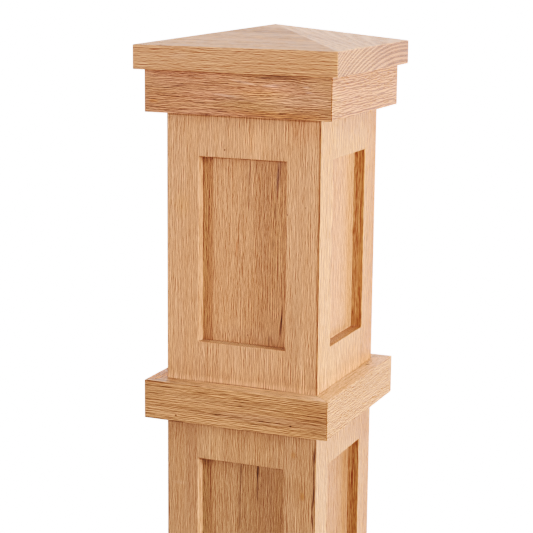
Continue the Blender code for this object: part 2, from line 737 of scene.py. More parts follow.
def four_sides(front: Object, stem: str) -> dict[Side, Object]:
    """Copies a front piece to the other sides, each copy with its place in a mesh of its own.

    Args:
        front: The front piece.
        stem: The pieces' name without the side.

    Returns:
        All four pieces, by side.
    """
    pieces = {Side.FRONT: front}
    for side in (Side.RIGHT, Side.BACK, Side.LEFT):
        made = front.copy()
        made.data = front.data.copy()
        made.name = f"{stem}_{side.label}"
        made.data.name = made.name
        made.data.transform(side.turn)
        bpy.context.scene.collection.objects.link(made)
        pieces[side] = made
    return pieces


def settle(piece: Object, material: Material, node: str) -> None:
    """Dresses a piece, and puts it in its node's stead.

    Args:
        piece: The shaped piece.
        material: Its finish.
        node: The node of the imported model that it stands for.
    """
    piece.data.materials.clear()
    piece.data.materials.append(material)
    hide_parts(node)
    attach(piece, "root")
    log.info("%s: %d faces in place of %s", piece.name, len(piece.data.polygons), node)


@dataclass
class Cap:
    """The block on top, with an upright edge and a low pyramid.

    Args:
        low: The lowest corner of the block.
        high: The highest corner, at the pyramid's point.
        edge: The height of the upright edge.
        easing: How far the arrises are rounded.
        finish: Its cut of oak.
    """

    low: Vector
    high: Vector
    edge: float
    easing: float
    finish: OakFinish

    def on_side(self, middle: Vector) -> bool:
        """Says whether an edge's middle lies on an upright face."""
        return near(abs(middle.x), self.high.x) or near(abs(middle.y), self.high.y)

    def build(self) -> Object:
        """Shapes the block.

        Returns:
            The block.
        """
        shoulder = Vector((self.high.x, self.high.y, self.low.z + self.edge))
        bench = Bench("cap_block", self.low, shoulder)
        bench.choose(Element.FACE, lambda middle, normal: normal.z > SQUARE_ON)
        bpy.ops.mesh.poke(offset=self.high.z - shoulder.z)
        bench.choose(Element.FACE, lambda middle, normal: normal.z > SLOPING).mark(PLANED)
        bench.choose(Element.FACE, lambda middle, normal: abs(normal.x) > SQUARE_ON).mark(END_GRAIN)
        bench.choose(Element.EDGE, lambda middle, line: self.on_side(middle)).ease(self.easing)
        return bench.done()

    def place(self, workshop: Workshop) -> None:
        """Builds the cap, dresses it and puts it in place.

        Args:
            workshop: Where materials are made.
        """
        centre = Vector((0.0, self.low.y, self.low.z + self.edge / 2))
        material = workshop.material(self.finish, Side.FRONT, Grain.LEVEL, centre)
        settle(self.build(), material, "cap")


@dataclass
class StripRing:
    """Four mitred strips round the post: the frieze, the collar or the plinth.

    Args:
        kind: The ring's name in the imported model.
        low: The front strip's lowest corner.
        high: The front strip's highest corner.
        easing: How far the arrises are rounded.
        finishes: Each side's cut of oak.
    """

    kind: str
    low: Vector
    high: Vector
    easing: float
    finishes: dict[Side, OakFinish]

    def build(self) -> Object:
        """Shapes the front strip.

        Returns:
            The strip.
        """
        bench = Bench(f"{self.kind}_strip_front", self.low, self.high)
        bench.narrow_back(self.low, self.high)
        bench.choose(Element.FACE, lambda middle, normal: normal.z > SQUARE_ON).mark(PLANED)
        bench.choose(Element.EDGE, lambda middle, line: near(middle.y, self.low.y))
        bench.ease(self.easing)
        return bench.done()

    def place(self, workshop: Workshop) -> None:
        """Builds the strips, dresses them and puts them in place.

        Args:
            workshop: Where materials are made.
        """
        centre = Vector((0.0, self.low.y, (self.low.z + self.high.z) / 2))
        for side, piece in four_sides(self.build(), f"{self.kind}_strip").items():
            material = workshop.material(self.finishes[side], side, Grain.LEVEL, centre)
            settle(piece, material, f"{self.kind}_{side.label}")


@dataclass
class Shaft:
    """Four tall boards with two windows each, and the panels let into them.

    Args:
        low: The front board's lowest corner.
        high: The front board's highest corner.
        half_window: Half the width of a window.
        windows: The bottom and top of each window.
        joint: The height of the butt joint behind the collar, where one length follows the other.
        easing: How far the arrises are rounded.
        timber: The cut of oak of each length and each panel, by its name.
    """

    low: Vector
    high: Vector
    half_window: float
    windows: tuple[tuple[float, float], ...]
    joint: float
    easing: float
    timber: dict[str, OakFinish]

    def on_window(self, middle: Vector) -> bool:
        """Says whether an edge of the face side runs round a window.

        Args:
            middle: The edge's middle.

        Returns:
            Whether it does.
        """
        upright = near(abs(middle.x), self.half_window)
        beside = any(bottom < middle.z < top for bottom, top in self.windows)
        level = any(near(middle.z, height) for window in self.windows for height in window)
        return (upright and beside) or (level and abs(middle.x) < self.half_window)

    def build(self) -> Object:
        """Shapes the front board.

        Returns:
            The board.
        """
        bench = Bench("shaft_board_front", self.low, self.high)
        bench.narrow_back(self.low, self.high)
        for across in (-self.half_window, self.half_window):
            bench.cut(RIGHTWARDS, across)
        for height in (*(height for window in self.windows for height in window), self.joint):
            bench.cut(UPWARDS, height)
        for bottom, top in self.windows:
            bench.choose(
                Element.FACE,
                lambda middle, normal: abs(normal.y) > SQUARE_ON
                and abs(middle.x) < self.half_window
                and bottom < middle.z < top,
            )
            bpy.ops.mesh.bridge_edge_loops()
        bench.choose(
            Element.EDGE,
            lambda middle, line: near(middle.y, self.low.y)
            and (self.on_window(middle) or near(abs(middle.x), self.high.x)),
        ).ease(self.easing)
        bench.choose(
            Element.FACE,
            lambda middle, normal: abs(middle.x) > self.high.x - self.easing
            and normal.y < -LEANING,
        ).mark(SEAM)
        bench.choose(
            Element.FACE,
            lambda middle, normal: abs(normal.x) > SQUARE_ON
            and near(abs(middle.x), self.half_window),
        ).mark(PLANED)
        return bench.done()

    def place(self, workshop: Workshop) -> None:
        """Builds the boards, dresses them and the panels, and puts them in place.

        Args:
            workshop: Where materials are made.
        """
        foot = Vector((0.0, self.low.y, 0.0))
        for side, piece in four_sides(self.build(), "shaft_board").items():
            lower, upper = (
                workshop.material(
                    self.timber[f"{level}_shaft_{side.label}"], side, Grain.UPRIGHT, foot
                )
                for level in LEVELS
            )
            settle(piece, upper, f"shaft_{side.label}")
            piece.data.materials.append(lower)
            for face in piece.data.polygons:
                face.material_index = 1 if face.center.z < self.joint else 0
            for level in LEVELS:
                self.dress_panel(workshop, side, level)

    def dress_panel(self, workshop: Workshop, side: Side, level: str) -> None:
        """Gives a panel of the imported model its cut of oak.

        Args:
            workshop: Where materials are made.
            side: The side the panel is on.
            level: Which of that side's windows it fills.
        """
        node = f"{level}_panel_{side.label}"
        foot = Vector((0.0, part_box(f"{level}_panel_front")[0].y, 0.0))
        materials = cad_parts[node].data.materials
        materials.clear()
        materials.append(workshop.material(self.timber[node], side, Grain.UPRIGHT, foot))
        log.info("%s: dressed as %s", node, self.timber[node].name)


# The studio

# The far wall stands behind the post and to its left: the way to it, across and back, and where
# its light fades in from the side and out towards the top
FAR_WALL = (-0.38, 0.92)
WALL_SIDES = (0.1, 0.7)
WALL_TOP = (0.78, 0.32)
# How far up the light from overhead fades in
OVERHEAD = (0.4, 0.9)
# How brightly the middle of the floor glows, and where its glow grows to that of the room
FLOOR_GLOW = 0.45
FLOOR_FADE = (0.15, 0.95)
# Pairs of light, up to white, and what the picture shows for it
TONE_CURVE = (
    (0.0365, 0.008), (0.0632, 0.02), (0.0915, 0.042), (0.126, 0.08),
    (0.1606, 0.127), (0.205, 0.188), (0.25, 0.25), (0.358, 0.376),
    (0.497, 0.5), (0.71, 0.645), (1.136, 0.84), (1.42, 0.93),
)


def direction(azimuth: float, elevation: float) -> Vector:
    """Finds the way out from the post to a lamp or the camera.

    Args:
        azimuth: How far round it is from the front, to the right, in degrees.
        elevation: How far up it is, in degrees.

    Returns:
        The direction, one metre long.
    """
    azimuth = math.radians(azimuth)
    elevation = math.radians(elevation)
    level = math.cos(elevation)
    return Vector((level * math.sin(azimuth), -level * math.cos(azimuth), math.sin(elevation)))


@dataclass(frozen=True)
class Lamp:
    """A white lamp that looks at the post.

    Args:
        name: The lamp's name.
        azimuth: How far round it stands from the front, to the right, in degrees.
        elevation: How high it stands above what it looks at, in degrees.
        distance: How far away it stands.
        size: The side of its square front.
        light: How bright a white board facing it would be, 1 for white.
    """

    name: str
    azimuth: float
    elevation: float
    distance: float
    size: float
    light: float

    def hang(self, aim: Vector) -> None:
        """Makes the lamp.

        Args:
            aim: The point it looks at.
        """
        data = bpy.data.lights.new(self.name, "AREA")
        data.shape = "SQUARE"
        data.size = self.size
        data.energy = self.light * (math.pi * self.distance) ** 2
        made = bpy.data.objects.new(self.name, data)
        away = direction(self.azimuth, self.elevation)
        made.location = aim + away * self.distance
        made.rotation_euler = away.to_track_quat("Z", "Y").to_euler()
        made.visible_camera = False
        bpy.context.scene.collection.objects.link(made)


@dataclass(frozen=True)
class Studio:
    """The white room, with its lamps and its floor.

    Args:
        aim: The point that the lamps look at.
        lamps: The lamps.
        ambient: How bright the white room is.
        backdrop: How much brighter its far wall is.
        overhead: How much brighter it is overhead.
        white: The light that the picture shows as pure white.
        floor_radius: The radius of the round floor.
        floor_grey: How pale the floor is.
    """

    aim: Vector
    lamps: tuple[Lamp, ...]
    ambient: float
    backdrop: float
    overhead: float
    white: float
    floor_radius: float
    floor_grey: float

    def set_up(self) -> None:
        """Makes the lamps, the room and the floor, and sets the picture's tones."""
        for lamp in self.lamps:
            lamp.hang(self.aim)
        self.paint_room()
        self.lay_floor()
        self.set_tone()

    def paint_room(self) -> None:
        """Makes the world: white to look at, and softer as a light."""
        world = bpy.data.worlds.new("White room")
        world.use_nodes = True
        bpy.context.scene.world = world
        graph = Graph(world.node_tree)
        seen = graph.signal("ShaderNodeLightPath", {}, "Is Camera Ray")
        across, back, up = graph.signal("ShaderNodeTexCoord", {}, "Generated").parts()
        behind = across * FAR_WALL[0] + back * FAR_WALL[1]
        wall = behind.step(*WALL_SIDES) * up.step(*WALL_TOP)
        light = wall * self.backdrop + self.ambient + up.step(*OVERHEAD) * self.overhead
        strength = seen * self.white + (1.0 - seen) * light
        inputs = {"Color": (*WHITE, 1.0), "Strength": strength}
        room = graph.signal("ShaderNodeBackground", inputs)
        graph.node("ShaderNodeOutputWorld", {"Surface": room})

    def lay_floor(self) -> None:
        """Lays a round pale floor that fades into the white room."""
        bpy.ops.object.select_all(action="DESELECT")
        bpy.ops.mesh.primitive_circle_add(vertices=128, radius=self.floor_radius, fill_type="NGON")
        floor = bpy.context.active_object
        floor.name = "studio_floor"
        material = bpy.data.materials.new("Pale floor")
        material.use_nodes = True
        graph = Graph(material.node_tree)
        reach = graph.signal("ShaderNodeTexCoord", {}, "Object").length() / self.floor_radius
        seen = graph.signal("ShaderNodeLightPath", {}, "Is Camera Ray")
        glow = reach.step(*FLOOR_FADE) * (1.0 - FLOOR_GLOW) + FLOOR_GLOW
        look = {
            "Base Color": (self.floor_grey, self.floor_grey, self.floor_grey, 1.0),
            "Roughness": 0.85,
            "Specular IOR Level": 0.1,
            "Emission Color": glow * seen,
            "Emission Strength": self.white,
        }
        shader = graph.signal("ShaderNodeBsdfPrincipled", look)
        graph.node("ShaderNodeOutputMaterial", {"Surface": shader})
        floor.data.materials.append(material)

    def set_tone(self) -> None:
        """Sets the picture's tone curve, whose two ends are there from the start."""
        view = bpy.context.scene.view_settings
        view.view_transform = "Standard"
        view.look = "None"
        view.use_curve_mapping = True
        mapping = view.curve_mapping
        mapping.white_level = (self.white, self.white, self.white)
        combined = mapping.curves[3]
        for light, shown in TONE_CURVE:
            combined.points.new(light / self.white, shown)
        for point in combined.points:
            point.handle_type = "AUTO_CLAMPED"
        mapping.update()


@dataclass(frozen=True)
class View:
    """The camera, which stands front right and looks slightly down.

    Args:
        azimuth: How far round it stands from the front, to the right, in degrees.
        elevation: How far it looks down, in degrees.
        roll: How far it leans, in degrees.
        distance: How far it is from its target.
        target: What it looks at.
        lens: Its focal length, in millimetres on a 36 mm frame.
    """

    azimuth: float
    elevation: float
    roll: float
    distance: float
    target: Vector
    lens: float

    def set_up(self) -> None:
        """Makes the camera, and makes it the scene's own."""
        azimuth = math.radians(self.azimuth)
        ahead = -direction(self.azimuth, self.elevation)
        lean = Matrix.Rotation(math.radians(-self.roll), 3, ahead)
        right = lean @ Vector((math.cos(azimuth), math.sin(azimuth), 0.0))
        data = bpy.data.cameras.new("camera")
        data.lens = self.lens
        data.sensor_width = 36.0
        data.dof.use_dof = False
        camera = bpy.data.objects.new("camera", data)
        turn = Matrix((right, right.cross(ahead), -ahead)).transposed().to_4x4()
        camera.matrix_world = Matrix.Translation(self.target - ahead * self.distance) @ turn
        bpy.context.scene.collection.objects.link(camera)
        bpy.context.scene.camera = camera


# The timber

# What some marks do to a board's colour
DARK = (0.50, 0.50, 0.50)
NEARLY_BLACK = (0.17, 0.16, 0.14)
SPLIT = (0.30, 0.25, 0.20)
GOLDEN_BROWN = (0.50, 0.39, 0.28)
AMBER = (0.90, 0.75, 0.52)
PURPLE = (0.55, 0.60, 0.74)
GREYISH = (0.72, 0.75, 0.80)
PALE_PINK = (1.22, 1.36, 1.62)
WHITISH = (1.14, 1.24, 1.40)

# Places that several marks share: the shaft's foot on the collar, the upper window's sill, the
# sides of a window, the top of a collar strip and the end of the cap
COLLAR_TOP = 1.0734
SILL = 1.1137
WINDOW_SIDE = 0.0454
STRIP_TOP = 0.0193
CAP_END = 0.1036
# How wide a pin hole is for its length, and half its depth
PIN_WIDTH = 0.8
PIN_REACH = 0.004
# A mark fades before its edge: half its length for each metre of the streak that shows, how much
# wider it is than that streak, and how far it sways
STREAK_LENGTH = 0.65
STREAK_WIDTH = 1.7
STREAK_WANDER = 0.0012


def pin(along: float, across: float, depth: float = 0.0, size: float = 0.0016) -> Mark:
    """Makes a pin hole as small as a nail's point, and returns it."""
    width = PIN_WIDTH * size
    return Mark(along, across, size, width, NEARLY_BLACK, 0.95, depth=depth, reach=PIN_REACH)


def streak(
    start: tuple[float, float],
    end: tuple[float, float],
    width: float,
    strength: float,
    stain_or_painted_light: Colour = DARK,
) -> Mark:
    """Makes a streak from one place on a board's face to another.

    Args:
        start: Where it starts, along and across the grain.
        end: Where it ends.
        width: Half its width.
        strength: How much of its stain shows.
        stain_or_painted_light: What it does to the board's colour.

    Returns:
        The mark.
    """
    length = end[0] - start[0]
    along = (start[0] + end[0]) / 2
    across = (start[1] + end[1]) / 2
    slope = (end[1] - start[1]) / length
    half = STREAK_LENGTH * abs(length) + width
    wide = STREAK_WIDTH * width
    return Mark(along, across, half, wide, stain_or_painted_light, strength, slope, STREAK_WANDER)


def top_painted_light_and_shade(along: float, length: float, stain_or_painted_light: Colour) -> Mark:
    """Paints light or shade, as the stain says, on the planed top of a collar strip, and returns
    the mark.
    """
    return Mark(along, STRIP_TOP, length, 0.004, stain_or_painted_light, 1.0, depth=-0.0085, reach=0.03)


# The marks that set the front and right boards apart, by the board's name in the imported model;
# those noted below are painted light and shade
MARKS: dict[str, tuple[Mark, ...]] = {
    "cap": (
        Mark(-0.055, 0.003, 0.014, 0.005, WHITISH, 0.35, reach=0.004),
        # Painted shade on the cap's upright front edge, darker than its lit top facets
        Mark(0.0, 0.0, 0.4, 0.05, (0.94, 0.94, 0.93), 1.0, reach=0.01),
        Mark(-0.065, 0.0, 0.05, 0.04, (0.95, 0.93, 0.92), 0.8, reach=0.01),
        Mark(0.0, 0.018, 0.12, 0.01, (1.1, 1.04, 0.96), 0.8, depth=-0.04, reach=0.01),
        Mark(0.0, 0.024, 0.12, 0.012, (0.87, 0.84, 0.84), depth=-0.07, reach=0.012),
        Mark(CAP_END, 0.0, 0.01, 0.03, (1.15, 1.19, 1.09), 0.8, depth=-0.05, reach=0.08),
        Mark(CAP_END, 0.0, 0.01, 0.03, (0.89, 0.76, 0.6), depth=-0.18, reach=0.12),
    ),
    "frieze_front": (
        streak((0.0189, 0.0168), (0.0638, 0.0184), 0.002, 0.8),
        streak((-0.068, 0.0057), (-0.0503, 0.0066), 0.001, 0.9),
        streak((-0.0285, -0.014), (-0.01, -0.015), 0.0009, 0.8),
        streak((-0.0041, 0.0134), (0.0202, 0.0102), 0.001, 1.0, PALE_PINK),
        streak((0.0267, 0.0092), (0.0449, 0.01), 0.0013, 1.0, PALE_PINK),
        streak((-0.0234, 0.0001), (0.0032, -0.002), 0.0009, 0.9, PALE_PINK),
        streak((-0.0253, -0.0018), (0.023, -0.005), 0.0008, 0.9, GREYISH),
        streak((-0.01, -0.0164), (0.0939, -0.0182), 0.003, 0.9, (0.82, 0.72, 0.58)),
        Mark(0.0709, 0.0099, 0.006, 0.0014, PALE_PINK),
        Mark(0.073, 0.005, 0.005, 0.0014, PALE_PINK),
        Mark(-0.0861, -0.0091, 0.008, 0.003, (1.0, 0.86, 0.62), 0.8),
        Mark(-0.086, 0.0, 0.03, 0.035, (0.9, 0.9, 0.88)),
        Mark(-0.006, -0.0045, 0.026, 0.008, (0.86, 0.9, 0.88)),
        Mark(0.032, 0.001, 0.036, 0.008, (1.2, 1.17, 1.1)),
        Mark(0.074, -0.013, 0.032, 0.012, (0.9, 0.84, 0.8)),
        Mark(0.0446, -0.0149, 0.018, 0.007, (1.16, 1.13, 1.16)),
        # Painted light along the frieze's top at the left, where the cap's shadow falls
        Mark(-0.06, 0.0205, 0.06, 0.005, (1.14, 1.12, 1.1)),
        Mark(0.072, 0.0, 0.06, 0.03, (1.0, 1.03, 1.14)),
        # Painted light in the cap's shadow, across the frieze's middle
        Mark(-0.01, 0.016, 0.05, 0.008, (1.13, 1.13, 1.13)),
        Mark(0.045, 0.012, 0.05, 0.006, (1.12, 1.12, 1.2)),
        Mark(-0.045, 0.006, 0.04, 0.007, (0.86, 0.87, 0.8), 0.8),
        Mark(-0.07, -0.008, 0.045, 0.014, (0.92, 0.92, 0.83)),
        Mark(0.025, 0.006, 0.05, 0.008, (1.16, 1.13, 1.09), 0.8),
        Mark(0.065, -0.004, 0.05, 0.01, (1.12, 1.13, 1.24), 0.8),
        Mark(-0.005, -0.016, 0.05, 0.008, (0.91, 0.89, 0.86), 0.8),
    ),
    "collar_front": (
        pin(-0.062, -0.0131),
        pin(0.0594, -0.0093),
        Mark(-0.01, -0.0165, 0.14, 0.007, (1.13, 1.12, 1.1), 0.8),
        Mark(0.08, 0.004, 0.045, 0.018, (0.84, 0.8, 0.76), 0.8),
        Mark(-0.09, 0.01, 0.035, 0.015, (0.86, 0.86, 0.84)),
        Mark(-0.01, 0.014, 0.09, 0.009, (1.11, 1.07, 1.03)),
        Mark(0.062, 0.006, 0.028, 0.009, (1.2, 1.22, 1.22)),
        Mark(0.03, -0.006, 0.1, 0.007, (0.89, 0.91, 0.98)),
        Mark(0.07, -0.017, 0.05, 0.007, (0.88, 0.86, 0.82)),
        # Painted shade on the left end of the collar's top, against the backdrop's reflection there
        top_painted_light_and_shade(-0.088, 0.03, (0.75, 0.65, 0.57)),
        # Painted light on the right end of the collar's top
        top_painted_light_and_shade(0.09, 0.03, (1.22, 1.22, 1.26)),
    ),
    "frieze_right": (
        Mark(-0.088, -0.004, 0.03, 0.018, (1.1, 1.21, 1.18)),
        Mark(0.05, 0.0, 0.08, 0.04, (0.99, 0.97, 0.9)),
    ),
    "collar_right": (
        pin(0.0514, 0.019, -0.0113, size=0.0022),
        # Painted shade on the far end of the collar's top, against the backdrop's reflection there
        top_painted_light_and_shade(0.08, 0.05, (0.84, 0.78, 0.72)),
    ),
    "upper_shaft_front": (
        pin(1.304, -0.0184),
        pin(1.2541, 0.0651, size=0.001),
        pin(1.2461, 0.0468, size=0.0013),
        streak((1.1122, 0.0032), (1.1057, 0.0033), 0.0006, 0.6),
        Mark(1.2485, -0.0637, 0.02, 0.012, (1.0, 0.96, 0.86), 0.7),
        # Painted light along the shaft's foot, in place of the collar's contact shadow
        Mark(COLLAR_TOP, 0.0, 0.008, 0.3, (1.25, 1.28, 1.34), 1.0),
        # A dark joint line at the shaft's foot, partly painted contact shadow
        Mark(1.0736, 0.0, 0.001, 0.08, (0.45, 0.42, 0.4), 1.0),
        # Painted light on the window's sill
        Mark(SILL, 0.0, 0.003, 0.09, (1.09, 1.27, 1.34), 1.0, depth=0.007, reach=0.009),
        Mark(1.09, 0.0, 0.03, 0.14, (1.06, 1.06, 1.07), 1.0),
        Mark(1.088, 0.066, 0.026, 0.014, (1.12, 1.14, 1.15)),
        Mark(1.085, 0.0, 0.02, 0.03, (1.08, 1.08, 1.07)),
        Mark(1.308, 0.012, 0.024, 0.02, (1.13, 1.1, 1.08)),
        Mark(1.145, 0.057, 0.08, 0.009, (0.88, 0.89, 0.88)),
        Mark(1.215, 0.048, 0.1, 0.006, (1.09, 1.1, 1.11)),
        Mark(1.325, 0.0, 0.034, 0.14, (1.04, 1.03, 1.01), 1.0),
        # Painted shadow under the frieze's right end
        Mark(1.33, 0.063, 0.026, 0.024, (0.92, 0.86, 0.84)),
        Mark(1.2, 0.0784, 0.6, 0.0011, GOLDEN_BROWN, 0.7, wander=0.001),
    ),
    "upper_shaft_right": (
        Mark(1.2, 0.085, 0.6, 0.055, (0.83, 0.67, 0.51), 1.0),
        Mark(1.097, 0.035, 0.03, 0.06, (0.92, 0.86, 0.78)),
        # Painted shadow under the frieze
        Mark(1.335, 0.0, 0.06, 0.14, (0.93, 0.93, 0.94)),
        # Painted light near the foot, bounced from the collar's top
        Mark(1.08, -0.055, 0.035, 0.05, (1.08, 1.14, 1.16)),
        Mark(1.205, WINDOW_SIDE, 0.15, 0.004, (0.9, 0.88, 0.82), depth=0.001, reach=0.006),
        Mark(1.205, WINDOW_SIDE, 0.15, 0.004, (1.07, 1.12, 1.28), depth=0.01, reach=0.01),
        # Painted light along the shaft's foot in place of the collar's contact shadow, with painted
        # shade at its near end
        Mark(COLLAR_TOP, 0.0, 0.04, 0.3, (1.09, 1.11, 1.3), 1.0),
        Mark(COLLAR_TOP, 0.0, 0.014, 0.3, (1.22, 1.27, 1.45), 1.0),
        Mark(COLLAR_TOP, 0.074, 0.016, 0.03, (1.04, 1.16, 1.34), 1.0),
        Mark(COLLAR_TOP, -0.062, 0.016, 0.03, (0.92, 0.92, 0.95), 0.8),
        # Painted shadow under the frieze
        Mark(1.332, 0.015, 0.03, 0.07, (0.87, 0.81, 0.8)),
        # Painted light on the window's sill
        Mark(SILL, 0.0, 0.003, 0.09, (1.04, 1.15, 1.65), 1.0, depth=0.007, reach=0.009),
    ),
    "lower_shaft_front": (
        Mark(0.9663, -0.0656, 0.003, 0.009, WHITISH, 0.5),
        Mark(1.015, -0.031, 0.04, 0.019, (1.25, 1.28, 1.3)),
        Mark(0.98, -0.052, 0.09, 0.0095, (0.87, 0.85, 0.86)),
        Mark(1.015, 0.005, 0.04, 0.045, (1.1, 1.1, 1.09)),
        Mark(0.975, 0.06, 0.018, 0.024, (0.89, 0.88, 0.85)),
        Mark(0.97, 0.066, 0.006, 0.0036, AMBER, 0.8),
        Mark(1.0105, 0.056, 0.005, 0.0034, AMBER, 0.6),
        streak((1.024, 0.0785), (1.0, 0.0775), 0.001, 1.0, SPLIT),
        streak((1.004, 0.0775), (0.982, 0.078), 0.0008, 0.9, SPLIT),
        streak((0.986, 0.078), (0.954, 0.0764), 0.001, 1.0, SPLIT),
        streak((0.956, 0.0765), (0.938, 0.0775), 0.0008, 0.9, SPLIT),
        streak((0.944, 0.0772), (0.7, 0.0774), 0.0008, 0.8, SPLIT),
    ),
    "lower_shaft_right": (
        Mark(0.9, 0.085, 0.6, 0.055, (0.85, 0.72, 0.61), 1.0),
        # Painted shadow under the collar, in two patches
        Mark(1.01, 0.046, 0.035, 0.055, (0.87, 0.77, 0.66), 1.0),
        Mark(1.018, -0.016, 0.036, 0.075, (0.93, 0.87, 0.81), 1.0),
        Mark(1.02, 0.076, 0.025, 0.01, (1.14, 1.3, 1.36)),
        Mark(0.87, WINDOW_SIDE, 0.21, 0.004, (0.8, 0.78, 0.62), 1.0, depth=0.002, reach=0.008),
    ),
    "upper_panel_right": (
        Mark(1.2, 0.04, 0.5, 0.055, (1.05, 1.11, 1.19), 1.0),
        # Painted light on the panel beside the far side of the window
        Mark(1.2, WINDOW_SIDE, 0.3, 0.014, (1.0, 1.05, 1.1), 1.0),
        Mark(1.27, -0.03, 0.2, 0.07, (0.9, 0.87, 0.83), 1.0),
        # Painted light along the panel's foot, where the sill's corner shades it
        Mark(1.1143, 0.0, 0.0018, 0.09, (1.16, 1.22, 1.4)),
    ),
    "lower_panel_right": (
        Mark(0.9, 0.04, 0.6, 0.055, (1.0, 1.05, 1.15), 1.0),
        # Painted light on the panel beside the far side of the window
        Mark(0.9, WINDOW_SIDE, 0.6, 0.014, (1.03, 1.14, 1.34), 1.0),
        # Painted shadow along the panel's top, under the window's head
        Mark(0.98, 0.0, 0.034, 0.09, (0.93, 0.91, 0.87)),
    ),
    "upper_panel_front": (
        streak((1.296, 0.0037), (1.2654, 0.0023), 0.0009, 0.8),
        streak((1.2684, 0.0024), (1.2405, 0.0021), 0.0008, 0.6),
        streak((1.301, 0.0343), (1.26, 0.0312), 0.002, 0.6, PURPLE),
        streak((1.293, 0.0336), (1.264, 0.0313), 0.0009, 0.7, PURPLE),
        streak((1.255, 0.03), (1.236, 0.0295), 0.0009, 0.85),
        streak((1.2186, 0.0279), (1.2097, 0.0275), 0.0013, 0.6),
        streak((1.2934, 0.0099), (1.2785, 0.0101), 0.0008, 0.6),
        streak((1.2168, -0.01), (1.1997, -0.01), 0.0007, 0.6, (0.85, 0.58, 0.48)),
        streak((1.1576, 0.0386), (1.141, 0.0373), 0.0008, 0.7),
        streak((1.1489, 0.0377), (1.1245, 0.0368), 0.0009, 0.95, NEARLY_BLACK),
        streak((1.125, 0.025), (1.1151, 0.0246), 0.0014, 0.65),
        pin(1.1226, 0.0021, size=0.0011),
        # Painted light along the panel's foot, where the sill's corner shades it
        Mark(1.116, 0.0, 0.02, 0.09, (1.1, 1.14, 1.22)),
        # Painted shade colour in the strip where the left lamp's shadow falls
        Mark(1.205, -0.045, 0.2, 0.008, (0.92, 0.99, 0.96), 1.0),
        Mark(1.225, 0.033, 0.09, 0.01, (1.08, 1.1, 1.09)),
    ),
    "lower_panel_front": (
        streak((1.001, 0.015), (0.972, 0.0138), 0.0008, 1.0, NEARLY_BLACK),
        streak((0.982, 0.014), (0.95, 0.0136), 0.0009, 0.9),
        streak((1.0, -0.0036), (0.96, -0.0042), 0.0009, 0.9),
        streak((0.964, -0.005), (0.94, -0.0056), 0.0009, 0.7),
        streak((0.944, -0.0044), (0.9211, -0.005), 0.0009, 0.6),
        # Painted light in the strip where the left lamp's shadow falls
        Mark(0.6, -0.045, 0.6, 0.011, (1.08, 1.27, 1.22), 1.0),
        Mark(0.9, 0.006, 0.16, 0.018, (0.92, 0.93, 0.91)),
        Mark(0.9, 0.038, 0.16, 0.012, (1.09, 1.09, 1.04)),
    ),
}

# The cuts that the boards share: upright and level ones, and a straight-grained upright one
# The upright cuts' planed factors paint light on the sides of the windows
UPRIGHT_OAK = OakFinish(pith=(0.03, 0.16), ring_width=0.0034, planed=(1.08, 1.1, 1.11))
LEVEL_OAK = OakFinish(
    pith=(0.02, -0.12),
    fibre=3.4,
    fibre_size=(0.008, 0.0005, 0.0005),
    pores=0.3,
    figure=0.1,
    waviness=0.003,
    drift=0.45,
    hues=(1.02, 0.99, 1.04),
)
RIFT_OAK = replace(
    UPRIGHT_OAK,
    pith=(-0.16, 0.05),
    fibre=2.4,
    fibre_size=(0.009, 0.001, 0.0004),
    drift=0.12,
    figure=0.05,
    hues=(0.8, 1.05, 1.3),
    # Painted light and shade on the sides of the right windows
    planed=(0.99, 1.04, 1.18),
)
